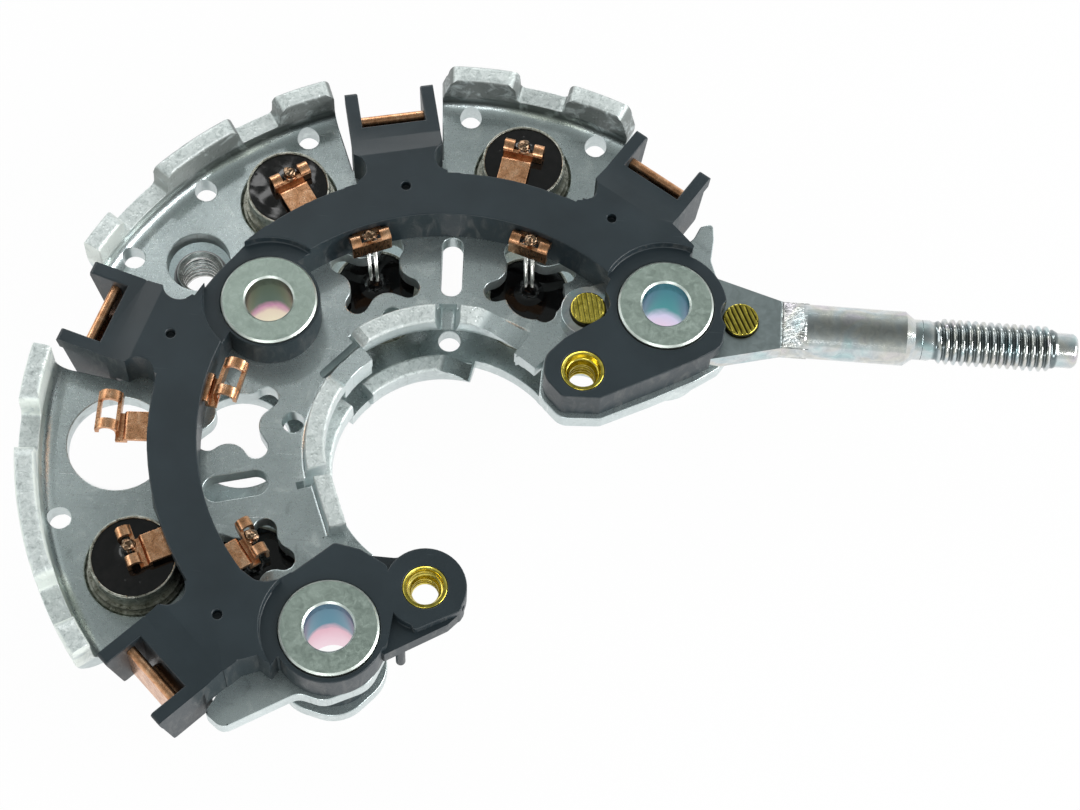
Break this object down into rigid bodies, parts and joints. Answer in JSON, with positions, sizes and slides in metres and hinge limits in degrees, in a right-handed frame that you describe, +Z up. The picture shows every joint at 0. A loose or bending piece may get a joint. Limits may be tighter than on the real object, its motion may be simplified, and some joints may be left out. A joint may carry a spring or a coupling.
{
  "type": "alternator rectifier",
  "caption": "Crescent-shaped diode plate pair with a moulded terminal arc, castellated heat sink, three mounting collars and a threaded output stud.",
  "frame": {"origin": "centre of the right mount bore on the seating plane of the negative sheet", "axes": "+X out along the output stud, +Z up from the generator's rear frame, +Y towards the castellated outer wall"},
  "size_m": [0.1328, 0.093, 0.016],
  "materials": {
    "pressed_aluminium": "pressed sheet, satin with bright edges and fine scratches",
    "black_moulding": "glass-filled moulding, satin dark blue-grey",
    "copper": "bare copper strip, rolled",
    "zinc_steel": "zinc plated, slightly mottled",
    "brass": "turned brass",
    "diode_cup": "plated cup with a darker rim",
    "potting": "glossy black epoxy",
    "tinned_wire": "tinned wire and solder",
    "silicon": "sealed chip"
  },
  "bodies": {
    "root": {"positive_heat_sink": "pressed_aluminium", "negative_heat_sink": "pressed_aluminium", "phase_terminal_1": "copper", "phase_terminal_2": "copper", "phase_terminal_3": "copper", "phase_terminal_4": "copper", "terminal_block": "black_moulding", "output_stud": "zinc_steel", "stud_rivet_inner": "brass", "stud_rivet_outer": "brass", "mount_collar_right": "zinc_steel", "mount_sleeve_right": "zinc_steel", "insulator_spacer_right": "black_moulding", "mount_collar_left": "zinc_steel", "mount_sleeve_left": "zinc_steel", "insulator_spacer_left": "black_moulding", "mount_collar_lower": "zinc_steel", "mount_sleeve_lower": "zinc_steel", "insulator_spacer_lower": "black_moulding", "regulator_insert_upper": "brass", "regulator_insert_lower": "brass", "threaded_bush": "zinc_steel", "positive_diode_cup_1": "diode_cup", "positive_diode_potting_1": "potting", "positive_diode_lead_1": "tinned_wire", "positive_diode_cup_2": "diode_cup", "positive_diode_potting_2": "potting", "positive_diode_lead_2": "tinned_wire", "positive_diode_cup_3": "diode_cup", "positive_diode_potting_3": "potting", "positive_diode_lead_3": "tinned_wire", "negative_diode_cup_1": "diode_cup", "negative_diode_potting_1": "potting", "negative_diode_lead_1": "tinned_wire", "negative_diode_cup_2": "diode_cup", "negative_diode_potting_2": "potting", "negative_diode_lead_2": "tinned_wire", "negative_diode_cup_3": "diode_cup", "negative_diode_potting_3": "potting", "negative_diode_lead_3": "tinned_wire", "diode_chips": "silicon"}
  },
  "joints": []
}
